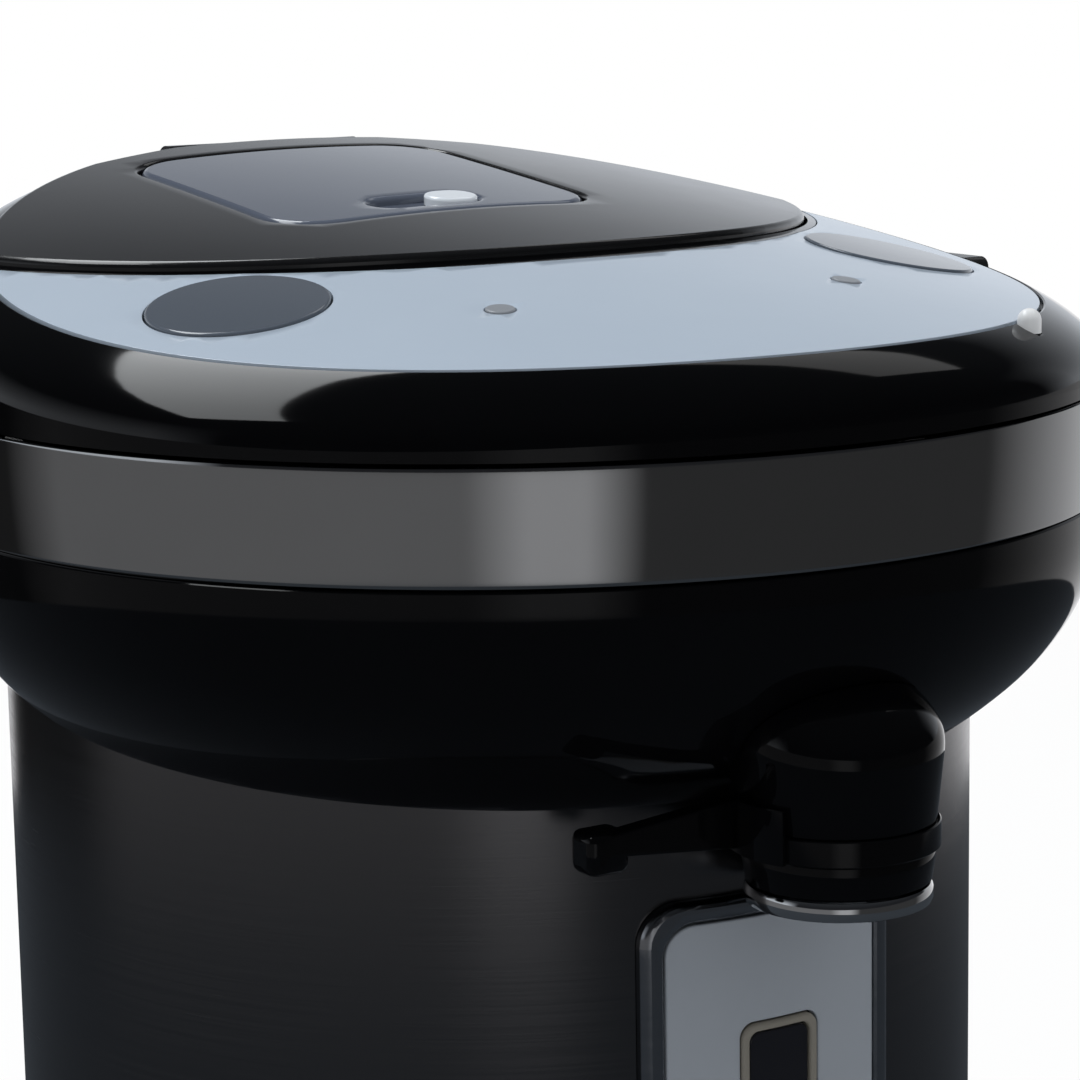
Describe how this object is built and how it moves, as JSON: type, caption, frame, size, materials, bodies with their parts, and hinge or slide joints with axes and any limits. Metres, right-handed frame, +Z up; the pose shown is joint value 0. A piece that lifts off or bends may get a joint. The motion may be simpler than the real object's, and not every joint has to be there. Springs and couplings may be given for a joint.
{
  "type": "electric thermo pot",
  "caption": "Electric water boiler with a wide black head, sprung pump plate in a hinged lid, front spout with a lever, water gauge, steel body, carry handle and turning base.",
  "frame": {"origin": "middle of the circle of rubber feet, on the surface that the pot stands on, on the body's axis", "axes": "+Z up along the body's axis, front of the pot with its spout towards -Y, +X to the right seen from the front"},
  "size_m": [0.2578, 0.2796, 0.3341],
  "materials": {
    "black": "gloss",
    "dark_plastic": "satin",
    "steel": "brushed",
    "chrome": "dark chrome",
    "panel": "satin",
    "plate": "gloss",
    "silver": "satin",
    "rubber": "matte",
    "clear": "clear",
    "beige": "satin",
    "white": "gloss",
    "green": "satin"
  },
  "bodies": {
    "turning_base": {"foot_rear_right": "rubber", "foot_rear_left": "rubber", "foot_front_left": "rubber", "foot_front_right": "rubber", "swivel_plate": "dark_plastic", "swivel_washer": "silver", "swivel_screw": "silver"},
    "pot": {"base_tray": "black", "inlet_housing": "dark_plastic", "inlet_pin_left": "silver", "inlet_pin_right": "silver", "inlet_pin_earth": "silver", "outer_casing": "steel", "inner_pot": "steel", "heater_plate": "silver", "thermostat": "dark_plastic", "pump_motor": "silver", "pump_head": "dark_plastic", "riser_elbow": "rubber", "feed_hose": "rubber", "sight_tube": "clear", "outlet_pipe": "rubber", "power_board": "green", "gauge_frame": "silver", "gauge_face": "plate", "window_border": "beige", "window_lens": "black", "lower_shell": "black", "chrome_band": "chrome", "upper_shell": "black", "control_panel": "panel", "left_lamp": "silver", "right_lamp": "silver", "pilot_lens": "white", "button_board": "green", "spout_cover": "black", "spout_ring": "chrome", "spout_nozzle": "dark_plastic", "mouth_ring": "dark_plastic", "lid_well": "dark_plastic", "hinge_pin": "silver", "handle_pivot_left": "dark_plastic", "handle_pivot_right": "dark_plastic"},
    "lid": {"lid_shell": "black", "inner_lid": "dark_plastic", "lid_gasket": "rubber", "bellows": "rubber"},
    "pump_plate": {"press_plate": "plate"},
    "plate_lock": {"lock_slider": "silver"},
    "left_key": {"left_button": "silver"},
    "right_key": {"right_button": "silver"},
    "lever": {"spout_lever": "black"},
    "handle": {"carry_handle": "black"}
  },
  "joints": [
    {"name": "base_swivel", "type": "hinge", "parent": "turning_base", "child": "pot", "pos_m": [0, 0, 0.0096], "axis": [0, 0, 1], "continuous": true},
    {"name": "lid_hinge", "type": "hinge", "parent": "pot", "child": "lid", "pos_m": [0, 0.0955, 0.32831], "axis": [-1, 0, 0], "range_deg": [0, 85]},
    {"name": "plate_press", "type": "slide", "parent": "lid", "child": "pump_plate", "axis": [0, 0, -1], "range_m": [0, 0.009], "stiffness_N_per_m": 400, "springref_m": -0.004, "deforming": ["bellows"]},
    {"name": "lock_slide", "type": "slide", "parent": "pump_plate", "child": "plate_lock", "axis": [-1, 0, 0], "range_m": [0, 0.013]},
    {"name": "left_press", "type": "slide", "parent": "pot", "child": "left_key", "axis": [0, 0, -1], "range_m": [0, 0.001], "stiffness_N_per_m": 1200, "springref_m": -0.0005},
    {"name": "right_press", "type": "slide", "parent": "pot", "child": "right_key", "axis": [0, 0, -1], "range_m": [0, 0.001], "stiffness_N_per_m": 1200, "springref_m": -0.0005},
    {"name": "lever_turn", "type": "hinge", "parent": "pot", "child": "lever", "pos_m": [0, -0.12, 0.2185], "axis": [0, 0, 1], "range_deg": [0, 50]},
    {"name": "handle_hinge", "type": "hinge", "parent": "pot", "child": "handle", "pos_m": [0, 0, 0.2985], "axis": [1, 0, 0], "range_deg": [0, 95]}
  ]
}
